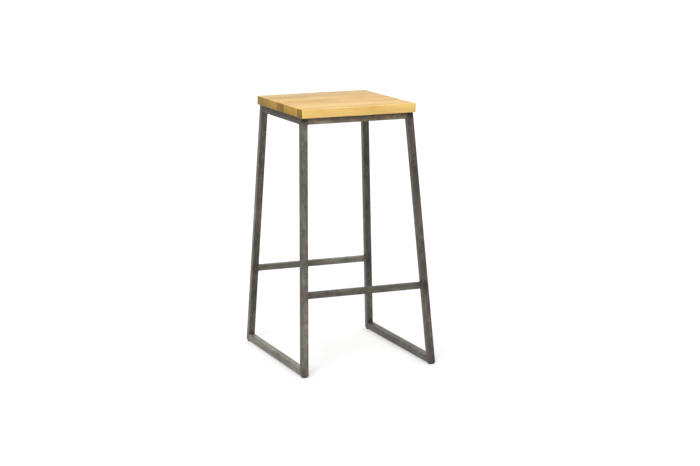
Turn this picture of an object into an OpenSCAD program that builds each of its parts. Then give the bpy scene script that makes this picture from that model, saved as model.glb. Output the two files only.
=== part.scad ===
// Bar stool with footrests: an oak seat of glued staves on a welded frame of square steel tube.
// Units are millimetres. +Z is up, +Y is the back, and +X is to the right of someone facing the back.
// The origin is on the floor, under the middle of the seat.
//
// Each side frame is flat: two legs mitred to a floor runner. The pair leans together at the top,
// and within each one the legs also lean together from front and back.

/* [Overall] */
// Height of the seat's top above the floor
stool_h = 764; // [600:1:920]
// How far each foot stands out sideways from the top of its leg
side_splay = 35.5; // [10:0.5:60]
// How far each foot stands out to the front or back from the top of its leg
end_splay = 71; // [10:0.5:110]

/* [Seat] */
// Seat width, along the grain
seat_w = 350; // [290:1:430]
// Seat depth, across the staves
seat_d = 400; // [330:1:480]
// Seat thickness
seat_th = 26; // [20:1:40]
// Rounding of the four upright corners
corner_r = 6; // [2:0.5:12]
// Rounding of the long edges, above and below
edge_r = 2; // [0.5:0.5:6]
// How far the seat stands out past the legs at each side
side_overhang = 3; // [0:1:30]
// How far the seat stands out past the legs at the front and back
end_overhang = 17; // [0:1:40]

/* [Frame tube] */
// Outside width of the legs, runners and rails
tube_w = 20; // [15:1:30]
// Outside width of the footrests
rest_w = 18; // [12:1:20]
// Wall of every tube
tube_wall = 1.5; // [1:0.1:1.8]
// Outside corner radius of every tube
tube_r = 2; // [2:0.1:3]
// Height of the middle of the footrests above the floor
rest_h = 233; // [120:1:400]

/* [Feet] */
// Diameter of the glide's foot
glide_d = 18; // [14:0.5:26]
// Height of the frame above the floor, which the glide fills
glide_h = 4; // [3:0.5:10]
// Diameter of the glide's push-in stem
stem_d = 8; // [6:0.5:10]
// Length of the stem inside the runner
stem_l = 9; // [6:1:12]

/* [Seat fixing] */
// Length of each corner tab along the rails
tab_l = 42; // [34:1:60]
// Thickness of the tabs
tab_th = 3; // [2:0.5:5]
// Distance of the screw from both rails
tab_hole = 15; // [12:0.5:18]
// Shank diameter of the wood screws
screw_d = 4.5; // [3:0.5:6]
// How far the screws reach into the seat
screw_bite = 16; // [10:1:18]

/* [Hidden] */
$fn = 48;

// Space left around the stems and screws in their holes
fit_gap = 0.1;
// How far the tabs sit under the top of the frame, so that the screws pull the seat down on to it
tab_drop = 1;
// The tabs' corners are cut off by this much, clear of the welds
tab_clip = 5;
// The glides' bottom edges are bevelled by this much
glide_bevel = 0.8;
// Sizes of the pan head
head_d = 2 * screw_d;
head_h = 0.6 * screw_d;
// The staves' shares of the seat's depth, from the front: boards of five widths, each a node of its own
stave_shares = [0.11, 0.28, 0.15, 0.30, 0.16];
// Larger than the whole stool: the size of the blocks that trim the tubes
reach = 2000;

seat_under = stool_h - seat_th;

// Outside of the frame, where it meets the seat and where it meets the glides
top_w = seat_w - 2 * side_overhang;
top_d = seat_d - 2 * end_overhang;
base_w = top_w + 2 * side_splay;
base_d = top_d + 2 * end_splay;

// The side frames lean by this from upright, and their legs by this within them
frame_rise = seat_under - glide_h;
side_lean = atan(side_splay / frame_rise);
leg_rise = frame_rise / cos(side_lean);
end_lean = atan(end_splay / leg_rise);
leg_l = leg_rise / cos(end_lean);
mitre = (90 - end_lean) / 2;

// Middle of the left runner's underside, and of the front leg at the same height
runner_x = -base_w / 2 + tube_w / 2 / cos(side_lean);
foot_y = -base_d / 2 + tube_w / 2 / cos(end_lean);

rail_z = seat_under - tube_w / 2;
side_rail_x = -top_w / 2 + tube_w / 2;
end_rail_y = -top_d / 2 + tube_w / 2;
end_rail_l = top_w - 2 * tube_w / cos(side_lean);
rest_y = foot_y + (rest_h - glide_h) / cos(side_lean) * tan(end_lean);

glide_y = -base_d / 2 + tube_w / 2;
tab_z = seat_under - tab_drop - tab_th;
screw_x = -top_w / 2 + tube_w + tab_hole;
screw_y = -top_d / 2 + tube_w + tab_hole;

// ---------- colours ----------
module oak() color([0.78, 0.58, 0.33]) children();
module steel() color([0.34, 0.33, 0.30]) children();
module zinc() color([0.70, 0.71, 0.72]) children();
module black_plastic() color([0.05, 0.05, 0.05]) children();

// ---------- placing ----------
// Corner pieces are drawn at the front left and mirrored to the other corners.
module on_right() mirror([1, 0, 0]) children();
module at_rear() mirror([0, 1, 0]) children();
module all_corners() {
    children();
    on_right() children();
    at_rear() children();
    on_right() at_rear() children();
}

// From the middle of the left runner's underside, with Z up the leaning side frame
module in_side_frame() translate([runner_x, 0, glide_h]) rotate([0, side_lean, 0]) children();

// From the foot of the front left leg's middle line, with Z along the leg
module along_leg() in_side_frame() translate([0, foot_y, 0]) rotate([-end_lean, 0, 0]) children();

// From the heel of the front left mitre, with Y along the cut
module along_mitre() in_side_frame() translate([0, -base_d / 2, 0]) rotate([mitre, 0, 0]) children();

// ---------- shared shapes ----------
module rounded_rectangle(w, h, r) {
    square([w - 2 * r, h], center = true);
    square([w, h - 2 * r], center = true);
    for (x = [-1, 1], y = [-1, 1])
        translate([x * (w / 2 - r), y * (h / 2 - r)]) circle(r);
}

// Square tube along Z, centred on the origin
module tube(w, l) {
    linear_extrude(l, center = true) difference() {
        rounded_rectangle(w, w, tube_r);
        rounded_rectangle(w - 2 * tube_wall, w - 2 * tube_wall, tube_r - tube_wall);
    }
}

module block_above() translate([-reach / 2, -reach / 2, 0]) cube(reach);
module block_below() translate([-reach / 2, -reach / 2, -reach]) cube(reach);

// Everything on the front side of the front left leg's rear face
module ahead_of_leg() along_leg() translate([-reach / 2, tube_w / 2 - reach, -reach / 2]) cube(reach);

// Everything to the left of the left side frame's inner face
module left_of_frame() in_side_frame() translate([tube_w / 2 - reach, -reach / 2, -reach / 2]) cube(reach);

// ---------- seat ----------
// The whole seat board, centred on the origin
module seat_board() {
    intersection() {
        linear_extrude(seat_th, center = true) rounded_rectangle(seat_w, seat_d, corner_r);
        rotate([90, 0, 0])
            linear_extrude(seat_d, center = true) rounded_rectangle(seat_w, seat_th, edge_r);
        rotate([90, 0, 90])
            linear_extrude(seat_w, center = true) rounded_rectangle(seat_d, seat_th, edge_r);
    }
}

// Where stave number n begins, counted from 0 at the front
function stave_start(n) = n == 0 ? -seat_d / 2 : stave_start(n - 1) + stave_shares[n - 1] * seat_d;

// Stave number n, with the pilot holes for the screws
module stave(n) {
    stave_d = stave_shares[n] * seat_d;
    difference() {
        translate([0, 0, seat_under + seat_th / 2]) intersection() {
            seat_board();
            translate([0, stave_start(n) + stave_d / 2, 0])
                cube([seat_w, stave_d, seat_th], center = true);
        }
        all_corners() translate([screw_x, screw_y, seat_under - 1])
            cylinder(d = screw_d + 2 * fit_gap, h = 1 + screw_bite + fit_gap);
    }
}

module seat_stave_front() oak() stave(0);
module seat_stave_front_middle() oak() stave(1);
module seat_stave_middle() oak() stave(2);
module seat_stave_rear_middle() oak() stave(3);
module seat_stave_rear() oak() stave(4);

// ---------- side frames ----------
// A leg runs up to the seat, and is mitred to the runner at its foot.
module leg() {
    difference() {
        along_leg() translate([0, 0, leg_l / 2]) tube(tube_w, leg_l + 4 * tube_w);
        along_mitre() block_below();
        translate([0, 0, seat_under]) block_above();
    }
}

module leg_front_left() steel() leg();
module leg_front_right() steel() on_right() leg();
module leg_rear_left() steel() at_rear() leg();
module leg_rear_right() steel() on_right() at_rear() leg();

// A runner is mitred at both ends, and is drilled for the stems of two glides.
module floor_runner() {
    difference() {
        in_side_frame() translate([0, 0, tube_w / 2]) rotate([90, 0, 0]) tube(tube_w, base_d);
        for (end = [0, 1]) mirror([0, end, 0]) {
            along_mitre() block_above();
            translate([runner_x, glide_y, 0]) cylinder(d = stem_d + 2 * fit_gap, h = glide_h + tube_w / 2);
        }
    }
}

module floor_runner_left() steel() floor_runner();
module floor_runner_right() steel() on_right() floor_runner();

// ---------- rails under the seat ----------
// The side rails are cut to the lean of the legs.
module side_rail() {
    difference() {
        translate([side_rail_x, 0, rail_z]) rotate([90, 0, 0]) tube(tube_w, top_d);
        ahead_of_leg();
        at_rear() ahead_of_leg();
    }
}

module top_rail_left() steel() side_rail();
module top_rail_right() steel() on_right() side_rail();

// The front and rear rails are cut square, and the weld fills the small wedge under each end.
module end_rail() translate([0, end_rail_y, rail_z]) rotate([0, 90, 0]) tube(tube_w, end_rail_l);

module top_rail_front() steel() end_rail();
module top_rail_rear() steel() at_rear() end_rail();

// ---------- footrests ----------
// A footrest is cut to the lean of the side frames.
module footrest() {
    difference() {
        translate([0, rest_y, rest_h]) rotate([0, 90, 0]) tube(rest_w, base_w);
        left_of_frame();
        on_right() left_of_frame();
    }
}

module footrest_front() steel() footrest();
module footrest_rear() steel() at_rear() footrest();

// ---------- seat fixing ----------
// A plate welded into the corner of the top frame, with its own corners cut off
module seat_tab() {
    translate([-top_w / 2 + tube_w, -top_d / 2 + tube_w, tab_z]) linear_extrude(tab_th) difference() {
        polygon([[tab_clip, 0], [tab_l, 0], [tab_l, tab_clip],
                 [tab_clip, tab_l], [0, tab_l], [0, tab_clip]]);
        translate([tab_hole, tab_hole]) circle(d = screw_d + 2 * fit_gap);
    }
}

module seat_tab_front_left() steel() seat_tab();
module seat_tab_front_right() steel() on_right() seat_tab();
module seat_tab_rear_left() steel() at_rear() seat_tab();
module seat_tab_rear_right() steel() on_right() at_rear() seat_tab();

// A wood screw up through the tab: a domed head with a cross recess, and a plain shank with a point
module screw() {
    point_l = screw_d;
    translate([screw_x, screw_y, tab_z]) {
        difference() {
            rotate([180, 0, 0]) rotate_extrude() intersection() {
                translate([0, head_h - head_d]) circle(head_d);
                square([head_d / 2, head_h]);
            }
            for (turn = [0, 90]) rotate([0, 0, turn])
                translate([0, 0, -head_h]) cube([head_d / 2, head_d / 10, head_h], center = true);
        }
        cylinder(d = screw_d, h = tab_th + tab_drop + screw_bite - point_l);
        translate([0, 0, tab_th + tab_drop + screw_bite - point_l])
            cylinder(d1 = screw_d, d2 = 0, h = point_l);
    }
}

module seat_screws() zinc() all_corners() screw();

// ---------- feet ----------
// A push-in glide: a level foot under the leaning runner, and a stem up into it
module glide() {
    translate([runner_x, glide_y, 0]) {
        cylinder(d = stem_d, h = glide_h + stem_l - glide_bevel);
        translate([0, 0, glide_h + stem_l - glide_bevel])
            cylinder(d1 = stem_d, d2 = stem_d - 2 * glide_bevel, h = glide_bevel);
    }
    difference() {
        translate([runner_x, glide_y, 0]) {
            cylinder(d1 = glide_d - 2 * glide_bevel, d2 = glide_d, h = glide_bevel);
            translate([0, 0, glide_bevel]) cylinder(d = glide_d, h = glide_h);
        }
        in_side_frame() block_above();
    }
}

module glide_front_left() black_plastic() glide();
module glide_front_right() black_plastic() on_right() glide();
module glide_rear_left() black_plastic() at_rear() glide();
module glide_rear_right() black_plastic() on_right() at_rear() glide();

// ---------- the stool ----------
seat_stave_front();
seat_stave_front_middle();
seat_stave_middle();
seat_stave_rear_middle();
seat_stave_rear();
leg_front_left();
leg_front_right();
leg_rear_left();
leg_rear_right();
floor_runner_left();
floor_runner_right();
top_rail_front();
top_rail_rear();
top_rail_left();
top_rail_right();
footrest_front();
footrest_rear();
seat_tab_front_left();
seat_tab_front_right();
seat_tab_rear_left();
seat_tab_rear_right();
seat_screws();
glide_front_left();
glide_front_right();
glide_rear_left();
glide_rear_right();
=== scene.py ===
"""Looks of the bar stool with footrests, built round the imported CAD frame.

Metres, +Z up, +Y to the back, origin on the floor under the middle of the seat. The steel tubes, tabs and
screws are the CAD's own meshes with new materials. The oak staves and the glides are remade here with
finer edges, and the weld beads, which the CAD leaves out, are added.
"""
import math
import random
from collections import namedtuple

import bmesh
import bpy
from mathutils import Matrix, Vector


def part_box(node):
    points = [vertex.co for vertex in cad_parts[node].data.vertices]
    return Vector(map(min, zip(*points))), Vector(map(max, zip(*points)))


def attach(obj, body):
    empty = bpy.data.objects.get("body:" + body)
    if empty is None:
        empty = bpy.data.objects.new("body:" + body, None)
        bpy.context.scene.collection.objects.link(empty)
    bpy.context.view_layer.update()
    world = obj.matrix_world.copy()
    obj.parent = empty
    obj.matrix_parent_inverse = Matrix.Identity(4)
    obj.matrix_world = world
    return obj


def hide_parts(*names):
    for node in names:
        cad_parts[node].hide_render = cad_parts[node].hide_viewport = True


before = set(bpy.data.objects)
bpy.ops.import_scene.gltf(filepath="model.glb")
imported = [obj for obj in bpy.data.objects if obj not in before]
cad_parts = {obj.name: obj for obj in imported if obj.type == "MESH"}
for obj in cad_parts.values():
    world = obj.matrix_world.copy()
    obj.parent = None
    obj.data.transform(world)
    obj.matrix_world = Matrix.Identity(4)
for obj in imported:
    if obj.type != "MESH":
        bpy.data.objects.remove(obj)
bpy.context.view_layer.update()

MM = 0.001

# ---------- sizes read from the frame ----------
SIDES = {"left": -1, "right": 1}
ENDS = {"front": -1, "rear": 1}
CORNERS = [(end, side) for end in ENDS for side in SIDES]

front_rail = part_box("top_rail_front")
left_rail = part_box("top_rail_left")
left_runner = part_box("floor_runner_left")
front_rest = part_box("footrest_front")
glide_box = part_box("glide_front_left")

tube = front_rail[1].z - front_rail[0].z
seat_under = front_rail[1].z
top_half_w = -left_rail[0].x
top_half_d = -front_rail[0].y
base_half_w = -left_runner[0].x
base_half_d = -left_runner[0].y
frame_rise = seat_under - left_runner[0].z
side_slope = (base_half_w - top_half_w) / frame_rise
end_slope = (base_half_d - top_half_d) / frame_rise


def leg_centre(z, end=-1, side=-1):
    """Middle of a leg at height z: where it is at the seat, and then out along its lean."""
    drop = seat_under - z
    return Vector((side * (top_half_w - tube / 2 + side_slope * drop),
                   end * (top_half_d - tube / 2 + end_slope * drop), z))


# ---------- node trees ----------
class Tree:
    """Short calls for building a node tree. A value is a number, a tuple or another node's output."""

    def __init__(self, tree):
        self.tree = tree

    def put(self, socket, value):
        """Links another node's output to the socket, or sets the socket itself."""
        if isinstance(value, bpy.types.NodeSocket):
            self.tree.links.new(value, socket)
        else:
            socket.default_value = value

    def node(self, kind, inputs=(), **settings):
        """A new node: inputs are its sockets' values by name or number, and settings its own properties."""
        made = self.tree.nodes.new("ShaderNode" + kind)
        for key, value in settings.items():
            setattr(made, key, value)
        for key, value in dict(inputs).items():
            self.put(made.inputs[key], value)
        return made

    def maths(self, operation, *values):
        return self.node("Math", enumerate(values), operation=operation).outputs["Value"]

    def vector(self, operation, *values, out="Vector"):
        return self.node("VectorMath", enumerate(values), operation=operation).outputs[out]

    def scaled(self, vector, by):
        """A vector or a colour times one number."""
        return self.node("VectorMath", {0: vector, "Scale": by}, operation="SCALE").outputs["Vector"]

    def axis(self, vector, name):
        """The X, Y or Z of a vector."""
        return self.node("SeparateXYZ", {"Vector": vector}).outputs[name]

    def noise(self, at, scale, detail=2.0, rough=0.5, distort=0.0):
        """Noise from 0 to 1, with this many cycles a metre: one number, or one for each axis."""
        if isinstance(scale, tuple):
            at = self.vector("MULTIPLY", at, scale)
            scale = 1.0
        return self.node("TexNoise", {"Vector": at, "Scale": scale, "Detail": detail,
                                      "Roughness": rough, "Distortion": distort}).outputs["Fac"]

    def ramp(self, value, *stops):
        """Colours or greys along value: each stop is (place, grey or (r, g, b))."""
        made = self.node("ValToRGB", {"Fac": value})
        ends = made.color_ramp.elements
        while len(ends) < len(stops):
            ends.new(0.5)
        for element, (place, colour) in zip(ends, stops):
            element.position = place
            rgb = colour if isinstance(colour, tuple) else (colour,) * 3
            element.color = (*rgb, 1.0)
        return made.outputs["Color"]

    def span(self, value, low, high, new_low=0.0, new_high=1.0):
        """value from low..high on to new_low..new_high, held at the ends."""
        return self.node("MapRange", {"Value": value, "From Min": low, "From Max": high,
                                      "To Min": new_low, "To Max": new_high}).outputs["Result"]

    def mix(self, share, a, b, blend="MIX"):
        """Colour a with this share of b laid over it, or multiplied into it."""
        made = self.node("Mix", data_type="RGBA", blend_type=blend)
        self.put(made.inputs["Factor"], share)
        for name, value in (("A", a), ("B", b)):
            socket = next(s for s in made.inputs if s.name == name and s.type == "RGBA")
            self.put(socket, (*value, 1.0) if isinstance(value, tuple) else value)
        return next(s for s in made.outputs if s.type == "RGBA")

    def bump(self, height, strength, depth, under=None):
        """A normal with height as relief of this depth, on top of another bump's normal if one is given."""
        inputs = {"Height": height, "Strength": strength, "Distance": depth}
        if under:
            inputs["Normal"] = under
        return self.node("Bump", inputs).outputs["Normal"]


def new_material(name):
    """(material, tree, principled shader) with the shader already on the output."""
    material = bpy.data.materials.new(name)
    material.use_nodes = True
    material.node_tree.nodes.clear()
    tree = Tree(material.node_tree)
    shader = tree.node("BsdfPrincipled")
    output = tree.node("OutputMaterial")
    tree.put(output.inputs["Surface"], shader.outputs["BSDF"])
    return material, tree, shader


# ---------- oak ----------
OAK_PALE = (0.585, 0.390, 0.125)
OAK_DEEP = (0.400, 0.228, 0.048)
OAK_PORE = (0.160, 0.090, 0.022)
OAK_END = (0.60, 0.53, 0.27)
RING_GAP = 4.2 * MM
# How far up from the seat's underside its ends get painted shade, darkest at the bottom
END_SHADE_HEIGHT = 14 * MM
# How far the middle of the tree may lie to the front or back of a stave's own middle, and how far
# below the seat
HEART_ASIDE = 30 * MM
HEART_BELOW = (30 * MM, 80 * MM)
# Each stave's tone on its faces and on its end grain against the others, front to back. The face tones fall
# from front to back partly as each stave's own tone and partly as painted fall-off of the light over the
# top.
STAVES = {"seat_stave_front": ((1.05, 1.08, 1.09), (0.62, 0.54, 0.20)),
          "seat_stave_front_middle": ((1.05, 1.07, 1.09), (1.10, 1.13, 1.00)),
          "seat_stave_middle": ((0.95, 0.93, 0.83), (0.58, 0.60, 0.22)),
          "seat_stave_rear_middle": ((0.88, 0.88, 0.90), (0.92, 0.94, 0.84)),
          "seat_stave_rear": ((0.80, 0.86, 1.06), (0.64, 0.80, 1.10))}


def growth_rings(t, place, own, heart):
    """How late in its year each point grew: 0 in the pale early wood, 1 in the dark late wood."""
    # The rings wander slowly along the board and a little faster across it
    sway = t.noise(own, (2.2, 9.0, 9.0), detail=2.0)
    wander = t.noise(own, (9.0, 60.0, 60.0), detail=3.0)
    shift = t.maths("ADD", t.maths("MULTIPLY", sway, 50 * MM), t.maths("MULTIPLY", wander, 6 * MM))
    across = t.maths("SUBTRACT", t.axis(place, "Y"), heart[0])
    up = t.maths("SUBTRACT", t.axis(place, "Z"), heart[1])
    squares = t.maths("ADD", t.maths("MULTIPLY", across, across), t.maths("MULTIPLY", up, up))
    radius = t.maths("SQRT", squares)
    rings = t.maths("FRACT", t.maths("MULTIPLY", t.maths("ADD", radius, shift), 1 / RING_GAP))
    return t.ramp(rings, (0.0, 0.0), (0.55, 0.25), (0.86, 1.0), (1.0, 0.05))


def end_grain(t, place, own, wood, tone):
    """(colour, round pores) of the sawn ends, which drink more oil and so are darker, with painted shade
    deepest along the bottom edge.
    """
    dots = t.ramp(t.noise(own, 1500.0, detail=1.0), (0.56, 0.0), (0.66, 1.0))
    colour = t.mix(1.0, t.mix(1.0, wood, OAK_END, "MULTIPLY"), tone, "MULTIPLY")
    colour = t.mix(t.maths("MULTIPLY", dots, 0.35), colour, OAK_PORE)
    # Painted shade along the bottom of the end grain, just above the seat's underside
    low = t.span(t.axis(place, "Z"), seat_under, seat_under + END_SHADE_HEIGHT, 0.45, 0.0)
    return t.mix(low, colour, (0.62, 0.56, 0.42), "MULTIPLY"), dots


def oak_material(name, heart, tone, end_tone, seed):
    """Oiled oak with its grain along X, as one solid block, so that the top, edge and end agree.

    heart is where the middle of the tree runs, as (y, z): the growth rings circle it. tone and end_tone
    are how light the stave's faces and its end grain are against the others, each (red, green, blue); tone
    also holds painted fall-off of light from the front of the seat to the back.
    """
    material, t, shader = new_material(name)
    place = t.node("TexCoord").outputs["Object"]
    own = t.vector("ADD", place, (seed * 1.7, seed * 0.9, seed * 0.4))
    late = growth_rings(t, place, own, heart)

    fibre = t.noise(own, (14.0, 620.0, 620.0), detail=3.0, rough=0.6)
    strand = t.noise(own, (4.0, 120.0, 120.0), detail=2.0)
    patch = t.noise(own, (7.0, 16.0, 16.0), detail=2.0)
    pores = t.noise(own, (170.0, 2600.0, 2600.0), detail=2.0, rough=0.6)
    pores = t.ramp(pores, (0.60, 0.0), (0.70, 1.0))
    # The early wood of each ring has most of the pores
    pores = t.maths("MULTIPLY", pores, t.span(late, 0.0, 0.6, 1.0, 0.15))
    rays = t.noise(own, (60.0, 420.0, 420.0), detail=1.0)
    rays = t.ramp(rays, (0.62, 0.0), (0.72, 1.0))

    wood = t.mix(t.maths("MULTIPLY", late, 0.62), OAK_PALE, OAK_DEEP)
    wood = t.mix(t.span(fibre, 0.35, 0.75, 0.0, 0.45), wood, (0.72, 0.62, 0.48), "MULTIPLY")
    wood = t.mix(t.span(strand, 0.35, 0.70, 0.0, 0.50), wood, (1.16, 1.13, 1.08), "MULTIPLY")
    wood = t.mix(t.span(patch, 0.45, 0.65, 0.0, 0.80), wood, (0.88, 0.80, 0.66), "MULTIPLY")
    wood = t.mix(t.span(patch, 0.45, 0.30, 0.0, 0.80), wood, (1.10, 1.13, 1.20), "MULTIPLY")
    wood = t.mix(t.maths("MULTIPLY", rays, 0.20), wood, (1.22, 1.20, 1.16), "MULTIPLY")
    wood = t.mix(t.maths("MULTIPLY", pores, 0.55), wood, OAK_PORE)

    normal = t.node("NewGeometry").outputs["Normal"]
    end_on = t.span(t.maths("ABSOLUTE", t.axis(normal, "X")), 0.75, 0.97)
    dark_end, dots = end_grain(t, place, own, wood, end_tone)
    wood = t.mix(end_on, t.mix(1.0, wood, tone, "MULTIPLY"), dark_end)

    t.put(shader.inputs["Base Color"], wood)
    rough = t.maths("ADD", t.span(fibre, 0.2, 0.8, 0.36, 0.50), t.maths("MULTIPLY", pores, 0.2))
    t.put(shader.inputs["Roughness"], t.maths("ADD", rough, t.maths("MULTIPLY", end_on, 0.40)))
    t.put(shader.inputs["Specular IOR Level"], 0.42)
    pits = t.maths("ADD", pores, t.maths("MULTIPLY", t.maths("MULTIPLY", dots, end_on), 0.6))
    relief = t.maths("SUBTRACT", t.maths("MULTIPLY", late, 0.35), pits)
    grain = t.bump(relief, 0.45, 0.12 * MM)
    t.put(shader.inputs["Normal"], t.bump(fibre, 0.25, 0.08 * MM, grain))
    return material


# ---------- steel ----------
STEEL_GREY = (0.150, 0.138, 0.114)
STEEL_OLIVE = (0.128, 0.124, 0.092)
STEEL_PLUM = (0.142, 0.112, 0.096)
SCALE_DARK = (0.060, 0.052, 0.042)
# How far from a joint the welding colours begin to fade, and where they end
HEAT_NEAR = 8 * MM
HEAT_FAR = 36 * MM
# How far below the seat the steel gets painted shade from the seat
SEAT_SHADE_DEPTH = 14 * MM

# How light a tube's front and back, its sides, and its top and bottom are against the other tubes: partly
# its own tone, and partly painted light and shade by the way each face points; how much painted brown
# bounce from the oak it takes; and how much it shines
ToneAndFaceLight = namedtuple("ToneAndFaceLight", "ends sides tops brown shine")
TUBE_TONES_AND_LIGHT = {
    "leg_front_left": ToneAndFaceLight(0.76, 0.36, 1.00, 0.00, 0.45),
    "leg_front_right": ToneAndFaceLight(0.52, 0.42, 1.00, 0.03, 0.65),
    "leg_rear_left": ToneAndFaceLight(0.52, 0.66, 1.00, 0.02, 1.00),
    "leg_rear_right": ToneAndFaceLight(0.45, 0.46, 1.00, 0.04, 0.90),
    "floor_runner_left": ToneAndFaceLight(0.90, 0.80, 1.40, 0.00, 0.92),
    "floor_runner_right": ToneAndFaceLight(0.80, 0.38, 0.62, 0.00, 0.75),
    "top_rail_front": ToneAndFaceLight(1.22, 0.90, 0.80, 0.12, 1.00),
    "top_rail_rear": ToneAndFaceLight(0.80, 0.80, 0.80, 0.05, 1.00),
    # The left top rail's low values are painted shadow from the seat above it
    "top_rail_left": ToneAndFaceLight(0.40, 0.28, 0.50, 0.24, 0.25),
    "top_rail_right": ToneAndFaceLight(0.70, 0.60, 0.80, 0.05, 0.90),
    "footrest_front": ToneAndFaceLight(0.54, 0.70, 0.30, 0.00, 0.65),
    "footrest_rear": ToneAndFaceLight(0.90, 0.90, 1.00, -0.02, 1.00),
}
TAB_TONE_AND_LIGHT = ToneAndFaceLight(0.80, 0.80, 0.90, 0.00, 1.00)


def drawn_out(t, own, along, share):
    """Coordinates with this share of the way along the tube taken out, which draws marks out along it."""
    run = t.vector("DOT_PRODUCT", own, along, out="Value")
    return t.vector("SUBTRACT", own, t.scaled(along, t.maths("MULTIPLY", run, share)))


def heat_tint(t, place, joints, colour):
    """The colours that welding leaves round each joint: dark scale, then brown, then a blue edge."""
    away = None
    for joint in joints:
        distance = t.vector("DISTANCE", place, joint, out="Value")
        away = t.maths("MINIMUM", away, distance) if away else distance
    ragged = t.maths("ADD", away, t.span(t.noise(place, 70.0, detail=3.0), 0.3, 0.7, -6 * MM, 6 * MM))
    cooled = t.span(ragged, HEAT_NEAR, HEAT_FAR)
    tint = t.ramp(cooled, (0.0, (0.055, 0.048, 0.042)), (0.35, (0.105, 0.072, 0.048)),
                  (0.62, (0.098, 0.086, 0.105)), (0.9, STEEL_GREY))
    share = t.ramp(cooled, (0.0, 0.75), (0.4, 0.6), (0.7, 0.35), (1.0, 0.0))
    return t.mix(share, colour, tint)


def steel_light(t, place, own, along, tone):
    """Painted light and shade on the steel at each point: by the way each face points, painted shade just
    under the seat, and random patches of tone.
    """
    normal = t.node("NewGeometry").outputs["Normal"]
    facing = t.vector("MULTIPLY", normal, normal)
    # Painted light and shade: each face lighter or darker by the way it points
    face = t.vector("DOT_PRODUCT", facing, (tone.sides, tone.ends, tone.tops), out="Value")
    # Painted shade from the seat's overhang, darkest right under the seat
    under = t.span(t.axis(place, "Z"), seat_under - SEAT_SHADE_DEPTH, seat_under - 1 * MM, 1.12, 0.25)
    drift = t.span(t.noise(own, 6.0, detail=1.0), 0.3, 0.7, 0.75, 1.25)
    mottle = t.noise(drawn_out(t, own, along, 0.5), 80.0, detail=5.0, rough=0.70, distort=0.5)
    mottle = t.span(mottle, 0.36, 0.64, 0.66, 1.36)
    return t.maths("MULTIPLY", t.maths("MULTIPLY", face, under), t.maths("MULTIPLY", drift, mottle))


def steel_material(name, along, joints, tone, seed):
    """Bare mill steel under clear lacquer: grey with olive and purple-brown patches.

    along is the unit direction of the tube, which the rolling marks follow. joints are the places where
    it is welded, and tone is its row of TUBE_TONES_AND_LIGHT.
    """
    material, t, shader = new_material(name)
    place = t.node("TexCoord").outputs["Object"]
    own = t.vector("ADD", place, (seed * 0.37, seed * 0.61, seed * 0.83))
    drawn = drawn_out(t, own, along, 0.95)

    cloud = t.noise(own, 11.0, detail=3.0, rough=0.55, distort=0.4)
    blotch = t.noise(own, 38.0, detail=4.0, rough=0.60, distort=0.8)
    speck = t.noise(own, 420.0, detail=3.0, rough=0.65)
    lines = t.noise(drawn, 620.0, detail=3.0, rough=0.6)
    streak = t.noise(drawn, 140.0, detail=2.0)

    colour = t.mix(t.span(cloud, 0.42, 0.60), STEEL_GREY, STEEL_OLIVE)
    colour = t.mix(t.span(blotch, 0.48, 0.64, 0.0, 0.85), colour, STEEL_PLUM)
    colour = t.mix(t.span(streak, 0.40, 0.70, 0.0, 0.60), colour, (0.60, 0.58, 0.55), "MULTIPLY")
    colour = t.mix(t.span(lines, 0.45, 0.75, 0.0, 0.45), colour, (1.45, 1.43, 1.40), "MULTIPLY")
    colour = t.mix(t.span(speck, 0.58, 0.72, 0.0, 0.55), colour, SCALE_DARK)
    colour = heat_tint(t, place, joints, colour)
    colour = t.scaled(colour, steel_light(t, place, own, along, tone))
    # Painted brown bounce light from the oak, as much as the tube's brown says
    colour = t.mix(1.0, colour, (1 + tone.brown, 1.0, 1 - tone.brown), "MULTIPLY")

    t.put(shader.inputs["Base Color"], colour)
    t.put(shader.inputs["Metallic"], 0.85 * tone.shine)
    rough = t.maths("ADD", t.span(blotch, 0.3, 0.7, 0.38, 0.54), t.maths("MULTIPLY", streak, 0.10))
    t.put(shader.inputs["Roughness"], rough)
    t.put(shader.inputs["Specular IOR Level"], 0.50 * tone.shine)
    t.put(shader.inputs["Coat Weight"], 0.30 * tone.shine)
    t.put(shader.inputs["Coat Roughness"], 0.24)
    pits = t.bump(speck, 0.30, 0.05 * MM)
    t.put(shader.inputs["Normal"], t.bump(lines, 0.20, 0.03 * MM, pits))
    return material


def weld_material():
    """Weld beads: darker and rougher than the tube, with straw and blue heat tint."""
    material, t, shader = new_material("weld")
    place = t.node("TexCoord").outputs["Object"]
    tint = t.noise(place, 90.0, detail=3.0, rough=0.6)
    soot = t.noise(place, 500.0, detail=3.0, rough=0.6)
    colour = t.ramp(tint, (0.35, (0.125, 0.100, 0.072)), (0.50, (0.120, 0.112, 0.102)),
                    (0.65, (0.085, 0.088, 0.100)))
    colour = t.mix(t.span(soot, 0.50, 0.70, 0.0, 0.6), colour, (0.045, 0.040, 0.036))
    t.put(shader.inputs["Base Color"], colour)
    t.put(shader.inputs["Metallic"], 0.85)
    t.put(shader.inputs["Roughness"], t.span(soot, 0.3, 0.7, 0.38, 0.60))
    t.put(shader.inputs["Coat Weight"], 0.30)
    t.put(shader.inputs["Coat Roughness"], 0.25)
    t.put(shader.inputs["Normal"], t.bump(soot, 0.3, 0.05 * MM))
    return material


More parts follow.
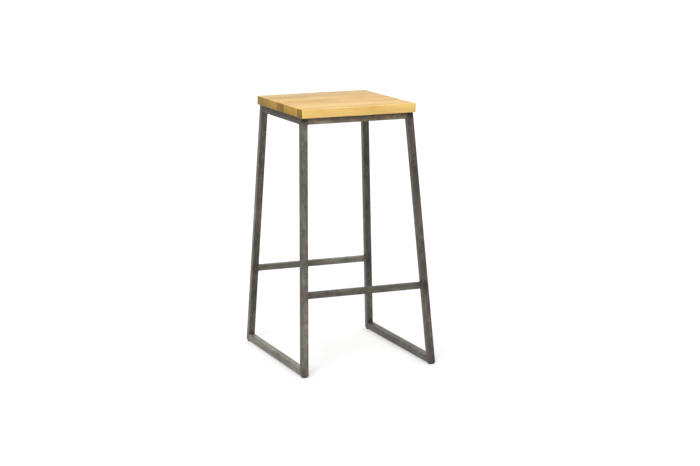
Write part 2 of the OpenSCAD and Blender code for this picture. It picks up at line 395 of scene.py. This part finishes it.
# ---------- zinc and plastic ----------
def zinc_material():
    """Bright zinc plate on the wood screws, dulled in patches."""
    material, t, shader = new_material("zinc")
    place = t.node("TexCoord").outputs["Object"]
    dull = t.noise(place, 260.0, detail=4.0, rough=0.6)
    scratch = t.noise(place, (900.0, 90.0, 900.0), detail=2.0)
    colour = t.ramp(dull, (0.35, (0.62, 0.62, 0.60)), (0.65, (0.47, 0.48, 0.48)))
    colour = t.mix(t.span(scratch, 0.55, 0.7, 0.0, 0.4), colour, (0.72, 0.72, 0.70))
    t.put(shader.inputs["Base Color"], colour)
    t.put(shader.inputs["Metallic"], 1.0)
    t.put(shader.inputs["Roughness"], t.span(dull, 0.3, 0.7, 0.25, 0.42))
    t.put(shader.inputs["Normal"], t.bump(scratch, 0.15, 0.03 * MM))
    return material


def glide_material():
    """Moulded black plastic, scuffed grey where it meets the floor."""
    material, t, shader = new_material("glide_plastic")
    place = t.node("TexCoord").outputs["Object"]
    mould = t.noise(place, 1400.0, detail=2.0)
    scuff = t.noise(place, 520.0, detail=4.0, rough=0.7)
    low = t.span(t.axis(place, "Z"), 0.0, 1.2 * MM, 1.0, 0.0)
    worn = t.maths("MULTIPLY", low, t.span(scuff, 0.42, 0.62))
    colour = t.mix(t.span(mould, 0.3, 0.7), (0.012, 0.012, 0.012), (0.020, 0.020, 0.019))
    colour = t.mix(t.maths("MULTIPLY", worn, 0.6), colour, (0.10, 0.098, 0.092))
    t.put(shader.inputs["Base Color"], colour)
    t.put(shader.inputs["Roughness"], t.span(scuff, 0.3, 0.7, 0.42, 0.62))
    t.put(shader.inputs["Normal"], t.bump(mould, 0.25, 0.04 * MM))
    return material


# ---------- mesh helpers ----------
SHARP = math.radians(35)


def mesh_object(name, form, material, replaced=()):
    """Turns a bmesh into a piece of the stool, riding on its only body."""
    mesh = bpy.data.meshes.new(name)
    form.to_mesh(mesh)
    form.free()
    made = bpy.data.objects.new(name, mesh)
    bpy.context.scene.collection.objects.link(made)
    mesh.materials.append(material)
    for face in mesh.polygons:
        face.use_smooth = True
    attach(made, "root")
    if replaced:
        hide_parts(*replaced)
    return made


def sharpen(made):
    """Smooth shading that breaks at the sharp edges."""
    form = bmesh.new()
    form.from_mesh(made.data)
    for edge in form.edges:
        edge.smooth = len(edge.link_faces) == 2 and edge.calc_face_angle(0.0) < SHARP
    form.to_mesh(made.data)
    form.free()


def repaint(node, material):
    """Gives a CAD node a new material."""
    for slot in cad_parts[node].material_slots:
        slot.material = material


# ---------- seat ----------
# Radii of the upright corners and of the long edges, and the bevel beside each glue line
SEAT_CORNER = 6 * MM
SEAT_EDGE = 2 * MM
GLUE_LINE = 0.25 * MM
CORNER_STEPS = 8
EDGE_STEPS = 5


def board_outline(low, high):
    """The seat's outline from above, with its four upright corners rounded."""
    points = []
    for quarter, (sx, sy) in enumerate([(1, 1), (-1, 1), (-1, -1), (1, -1)]):
        cx = (high.x if sx > 0 else low.x) - sx * SEAT_CORNER
        cy = (high.y if sy > 0 else low.y) - sy * SEAT_CORNER
        for step in range(CORNER_STEPS + 1):
            turn = (quarter + step / CORNER_STEPS) * math.pi / 2
            points.append(Vector((cx + SEAT_CORNER * math.cos(turn), cy + SEAT_CORNER * math.sin(turn))))
    return points


def seat_board(low, high):
    """The whole seat as one closed form: rings of its outline, drawn in at the rounded long edges."""
    outline = board_outline(low, high)
    count = len(outline)
    # How far in each ring is drawn, and its height
    levels = []
    for step in range(EDGE_STEPS + 1):
        turn = step / EDGE_STEPS * math.pi / 2
        levels.append((SEAT_EDGE * (1 - math.sin(turn)), low.z + SEAT_EDGE * (1 - math.cos(turn))))
    levels += [(inset, low.z + high.z - z) for inset, z in reversed(levels)]
    form = bmesh.new()
    rings = []
    for inset, z in levels:
        ring = []
        for i, point in enumerate(outline):
            run = outline[(i + 1) % count] - outline[i - 1]
            inward = Vector((-run.y, run.x)).normalized()
            ring.append(form.verts.new((*(point + inward * inset), z)))
        rings.append(ring)
    for lower, upper in zip(rings, rings[1:]):
        for i in range(count):
            j = (i + 1) % count
            form.faces.new((lower[i], lower[j], upper[j], upper[i]))
    form.faces.new(list(reversed(rings[0])))
    form.faces.new(rings[-1])
    return form


def cut_away(form, y, keep):
    """Cuts the form at y, drops the part on the far side from keep (-1 or 1), and closes the cut."""
    everything = form.verts[:] + form.edges[:] + form.faces[:]
    cut = bmesh.ops.bisect_plane(form, geom=everything, plane_co=(0, y, 0), plane_no=(0, -keep, 0),
                                 clear_outer=True)
    edges = [g for g in cut["geom_cut"] if isinstance(g, bmesh.types.BMEdge)]
    filled = bmesh.ops.edgeloop_fill(form, edges=edges)
    rim = [e for f in filled["faces"] for e in f.edges]
    bmesh.ops.bevel(form, geom=rim, offset=GLUE_LINE, segments=2, affect="EDGES", profile=0.5)


def make_seat():
    """Five staves, each cut out of the whole seat with a fine bevel along its glue lines."""
    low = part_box("seat_stave_front")[0]
    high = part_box("seat_stave_rear")[1]
    draw = random.Random(5)
    for index, (node, (tone, end_tone)) in enumerate(STAVES.items()):
        stave_low, stave_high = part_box(node)
        middle = (stave_low.y + stave_high.y) / 2
        heart = (middle + draw.uniform(-HEART_ASIDE, HEART_ASIDE), low.z - draw.uniform(*HEART_BELOW))
        form = seat_board(low, high)
        if index > 0:
            cut_away(form, stave_low.y, 1)
        if index < len(STAVES) - 1:
            cut_away(form, stave_high.y, -1)
        bmesh.ops.recalc_face_normals(form, faces=form.faces[:])
        material = oak_material("oak_" + node, heart, tone, end_tone, seed=index + 1)
        stave = mesh_object("oak_" + node, form, material, [node])
        sharpen(stave)


# ---------- frame ----------
def tube_direction(node):
    """Unit direction of a tube or tab, from its name."""
    kind, *where = node.split("_")
    if kind == "leg":
        foot, head = (leg_centre(z, ENDS[where[0]], SIDES[where[1]]) for z in (0.0, seat_under))
        return (head - foot).normalized()
    crosswise = where[-1] in ENDS or kind == "seat"
    return Vector((1, 0, 0)) if crosswise else Vector((0, 1, 0))


def joints_of(node):
    """The welded joints that a tube or tab reaches."""
    low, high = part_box(node)
    rest_z = (front_rest[0].z + front_rest[1].z) / 2
    levels = (seat_under - tube / 2, rest_z, left_runner[1].z - tube / 2)
    joints = [leg_centre(z, ENDS[end], SIDES[side]) for z in levels for end, side in CORNERS]
    return [joint for joint in joints
            if all(low[i] - tube < joint[i] < high[i] + tube for i in range(3))]


def dress_frame():
    """Gives each CAD tube and tab its own run of the steel."""
    tones = dict(TUBE_TONES_AND_LIGHT)
    tones.update({f"seat_tab_{end}_{side}": TAB_TONE_AND_LIGHT for end, side in CORNERS})
    for seed, (node, tone) in enumerate(tones.items()):
        along = tube_direction(node)
        repaint(node, steel_material("steel_" + node, along, joints_of(node), tone, seed))


# ---------- welds ----------
WELD_R = 1.1 * MM
WELD_AROUND = 8
# Distance from one ripple to the next, and the sizes of the dips between them and of a run's two tips,
# all against the bead's radius
RIPPLE_PITCH = 0.55
RIPPLE_DIP = 0.82
WELD_TIP = 0.35


def bead(form, start, stop, draw):
    """Overlapping weld ripples from start to stop, as one tube whose rings swell and shrink."""
    run = stop - start
    along = run.normalized()
    side = along.orthogonal().normalized()
    up = along.cross(side)
    ripples = max(2, int(run.length / (WELD_R * RIPPLE_PITCH)))
    steps = ripples * 2
    last = None
    for step in range(steps + 1):
        swell = (1.0 if step % 2 else RIPPLE_DIP) * draw.uniform(0.93, 1.07)
        if step in (0, steps):
            swell = WELD_TIP
        centre = start + run * (step / steps)
        ring = []
        for k in range(WELD_AROUND):
            turn = k / WELD_AROUND * 2 * math.pi
            outward = side * math.cos(turn) + up * math.sin(turn)
            ring.append(form.verts.new(centre + WELD_R * swell * outward))
        if last:
            for k in range(WELD_AROUND):
                j = (k + 1) % WELD_AROUND
                form.faces.new((last[k], last[j], ring[j], ring[k]))
        else:
            form.faces.new(list(reversed(ring)))
        last = ring
    form.faces.new(last)


def corner_welds():
    """The weld runs of the front left corner, each as the points that it joins."""
    rail_low, rail_high = front_rail
    rest_low, rest_high = front_rest
    rail_top = seat_under - 1 * MM
    # Front rail against the leg: down its front, along under it and up its back
    top_x = rail_low.x
    low_x = top_x - side_slope * tube
    end_rail = [(top_x, rail_low.y, rail_top), (low_x, rail_low.y, rail_low.z),
                (low_x, rail_high.y, rail_low.z), (top_x, rail_high.y, rail_top)]
    # Side rail against the leg, in the same way
    top_y = leg_centre(seat_under).y + tube / 2
    low_y = top_y - end_slope * tube
    side_rail = [(left_rail[0].x, top_y, rail_top), (left_rail[0].x, low_y, rail_low.z),
                 (left_rail[1].x, low_y, rail_low.z), (left_rail[1].x, top_y, rail_top)]
    # Footrest against the leg: all round
    top_x = leg_centre(rest_high.z).x + tube / 2
    low_x = top_x - side_slope * (rest_high.z - rest_low.z)
    footrest = [(top_x, rest_low.y, rest_high.z), (low_x, rest_low.y, rest_low.z),
                (low_x, rest_high.y, rest_low.z), (top_x, rest_high.y, rest_high.z)]
    footrest.append(footrest[0])
    # Mitre at the floor: across the inside of the corner
    foot = leg_centre(left_runner[0].z + tube)
    reach = tube / 2 - 1 * MM
    mitre = [(foot.x - reach, foot.y + tube / 2, foot.z), (foot.x + reach, foot.y + tube / 2, foot.z)]
    return [end_rail, side_rail, footrest, mitre]


def make_welds(material):
    """The beads at the rails, footrests and floor mitres: drawn for the front left, and mirrored."""
    draw = random.Random(11)
    for end, side in CORNERS:
        flip = Matrix.Diagonal((-SIDES[side], -ENDS[end], 1))
        form = bmesh.new()
        for points in corner_welds():
            points = [flip @ Vector(point) for point in points]
            for start, stop in zip(points, points[1:]):
                bead(form, start, stop, draw)
        mesh_object(f"weld_{end}_{side}", form, material)


# ---------- glides ----------
GLIDE_STEM_R = 4 * MM
# Radius of the foot's bottom edge, and the bevel of the stem's tip
GLIDE_ROUND = 0.8 * MM
GLIDE_ROUND_STEPS = 5
GLIDE_TURNS = 48


def glide_profile():
    """Half a glide's outline as (radius, height): a foot grooved in its sole and its side, and a stem."""
    low, high = glide_box
    radius = (high.x - low.x) / 2
    neck = left_runner[0].z + 0.2 * MM
    profile = [(0.0, 0.0), (radius * 0.55, 0.0), (radius * 0.60, 0.15 * MM), (radius * 0.65, 0.0)]
    for step in range(GLIDE_ROUND_STEPS + 1):
        turn = step / GLIDE_ROUND_STEPS * math.pi / 2
        profile.append((radius - GLIDE_ROUND * (1 - math.sin(turn)), GLIDE_ROUND * (1 - math.cos(turn))))
    profile += [(radius, neck * 0.62), (radius - 0.25 * MM, neck * 0.68), (radius, neck * 0.74),
                (radius, neck - 0.3 * MM), (radius - 0.3 * MM, neck), (GLIDE_STEM_R, neck),
                (GLIDE_STEM_R, high.z - GLIDE_ROUND), (GLIDE_STEM_R - GLIDE_ROUND, high.z), (0.0, high.z)]
    return profile


def make_glides(material):
    """Each glide turned from its profile, about the middle of the CAD's own."""
    for end, side in CORNERS:
        low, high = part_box(f"glide_{end}_{side}")
        centre = (Vector(low) + Vector(high)) / 2
        form = bmesh.new()
        verts = [form.verts.new((centre.x + r, centre.y, z)) for r, z in glide_profile()]
        edges = [form.edges.new(pair) for pair in zip(verts, verts[1:])]
        bmesh.ops.spin(form, geom=verts + edges, cent=(centre.x, centre.y, 0), axis=(0, 0, 1),
                       angle=2 * math.pi, steps=GLIDE_TURNS, use_merge=True)
        bmesh.ops.remove_doubles(form, verts=form.verts[:], dist=0.001 * MM)
        bmesh.ops.recalc_face_normals(form, faces=form.faces[:])
        glide = mesh_object(f"glide_foot_{end}_{side}", form, material,
                            [f"glide_{end}_{side}"])
        sharpen(glide)


# ---------- studio ----------
# How bright the dome is at the horizon and overhead
HORIZON = 0.40
ZENITH = 1.75
# The direction that the key light comes from, its spread and its power
KEY_FROM = (-0.467, -0.661, 0.588)
KEY_SPREAD = math.radians(24)
KEY_POWER = 2.1
FLOOR_GLOW = 0.27
FLOOR_SIZE = 60.0


def make_floor():
    """A wide pale floor that glows a little, as a light table does, so that shadows stay soft."""
    form = bmesh.new()
    bmesh.ops.create_grid(form, x_segments=1, y_segments=1, size=FLOOR_SIZE)
    mesh = bpy.data.meshes.new("floor")
    form.to_mesh(mesh)
    form.free()
    floor = bpy.data.objects.new("floor", mesh)
    bpy.context.scene.collection.objects.link(floor)
    material, t, shader = new_material("pale_floor")
    place = t.node("TexCoord").outputs["Object"]
    t.put(shader.inputs["Base Color"], t.ramp(t.noise(place, 3.0, detail=3.0), (0.3, 0.50), (0.7, 0.52)))
    t.put(shader.inputs["Emission Color"], (1.0, 1.0, 1.0, 1.0))
    t.put(shader.inputs["Emission Strength"], FLOOR_GLOW)
    t.put(shader.inputs["Roughness"], 0.9)
    t.put(shader.inputs["Specular IOR Level"], 0.1)
    mesh.materials.append(material)


def make_studio():
    """A white dome, brightest overhead, and one wide soft light from the front left."""
    scene = bpy.context.scene
    scene.view_settings.view_transform = "Standard"
    world = bpy.data.worlds.new("studio")
    world.use_nodes = True
    scene.world = world
    t = Tree(world.node_tree)
    up = t.axis(t.node("TexCoord").outputs["Generated"], "Z")
    background = world.node_tree.nodes["Background"]
    t.put(background.inputs["Color"], t.ramp(up, (0.0, HORIZON), (1.0, ZENITH)))
    make_floor()
    key = bpy.data.lights.new("key", "SUN")
    key.energy = KEY_POWER
    key.angle = KEY_SPREAD
    lamp = bpy.data.objects.new("key", key)
    lamp.rotation_mode = "QUATERNION"
    lamp.rotation_quaternion = Vector(KEY_FROM).to_track_quat("Z", "Y")
    bpy.context.scene.collection.objects.link(lamp)


# ---------- camera ----------
# How far round to the left and up it stands, how much it leans, how far off it is and what it looks at
VIEW_ROUND = math.radians(20.87)
VIEW_UP = math.radians(10.43)
VIEW_LEAN = math.radians(-0.76)
VIEW_FAR = 5.802
VIEW_AIM = Vector((0.0137, 0.0, 0.366))
# Focal length and the width of the sensor, in millimetres
LENS = 100.05
SENSOR = 36.0
# The lens's shift to the right and up, as shares of the picture's width
VIEW_SHIFT = (0.01286, -0.00143)


def make_camera():
    """The camera, built from its own axes so that it can lean."""
    back = Vector((-math.sin(VIEW_ROUND) * math.cos(VIEW_UP), -math.cos(VIEW_ROUND) * math.cos(VIEW_UP),
                   math.sin(VIEW_UP)))
    right = Vector((0, 0, 1)).cross(back).normalized()
    up = back.cross(right)
    turned_right = math.cos(VIEW_LEAN) * right + math.sin(VIEW_LEAN) * up
    turned_up = math.cos(VIEW_LEAN) * up - math.sin(VIEW_LEAN) * right
    data = bpy.data.cameras.new("camera")
    data.lens = LENS
    data.sensor_width = SENSOR
    data.shift_x, data.shift_y = VIEW_SHIFT
    camera = bpy.data.objects.new("camera", data)
    turn = Matrix((turned_right, turned_up, back)).transposed().to_4x4()
    camera.matrix_world = Matrix.Translation(VIEW_AIM + back * VIEW_FAR) @ turn
    bpy.context.scene.collection.objects.link(camera)
    bpy.context.scene.camera = camera


make_camera()
make_studio()
make_seat()
dress_frame()
make_welds(weld_material())
make_glides(glide_material())
repaint("seat_screws", zinc_material())
